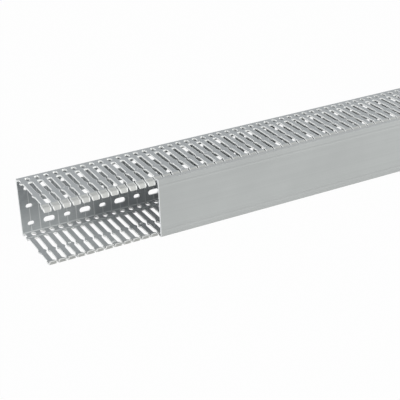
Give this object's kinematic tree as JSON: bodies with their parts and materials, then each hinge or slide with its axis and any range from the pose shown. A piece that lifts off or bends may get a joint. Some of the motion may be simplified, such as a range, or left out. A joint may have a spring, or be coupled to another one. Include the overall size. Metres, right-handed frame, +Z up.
{
  "type": "slotted wire duct",
  "caption": "Straight slotted wiring duct with open fingers, oblong fixing holes in its base and a clip-on cover slid back from one end.",
  "frame": {"origin": "middle of the part's footprint, on the floor that its lower slotted wall lies on", "axes": "+X along the duct from the open end towards the covered end, +Y from the opening towards the base, +Z up"},
  "size_m": [1.151, 0.1, 0.08],
  "materials": {
    "duct_pvc": "satin grey extruded plastic",
    "cover_pvc": "satin grey extruded plastic"
  },
  "bodies": {
    "duct": {"duct_body": "duct_pvc"},
    "cover": {"cover": "cover_pvc"}
  },
  "joints": [
    {"name": "cover_slide", "type": "slide", "parent": "duct", "child": "cover", "axis": [1, 0, 0], "range_m": [-0.151, 0.8]}
  ]
}
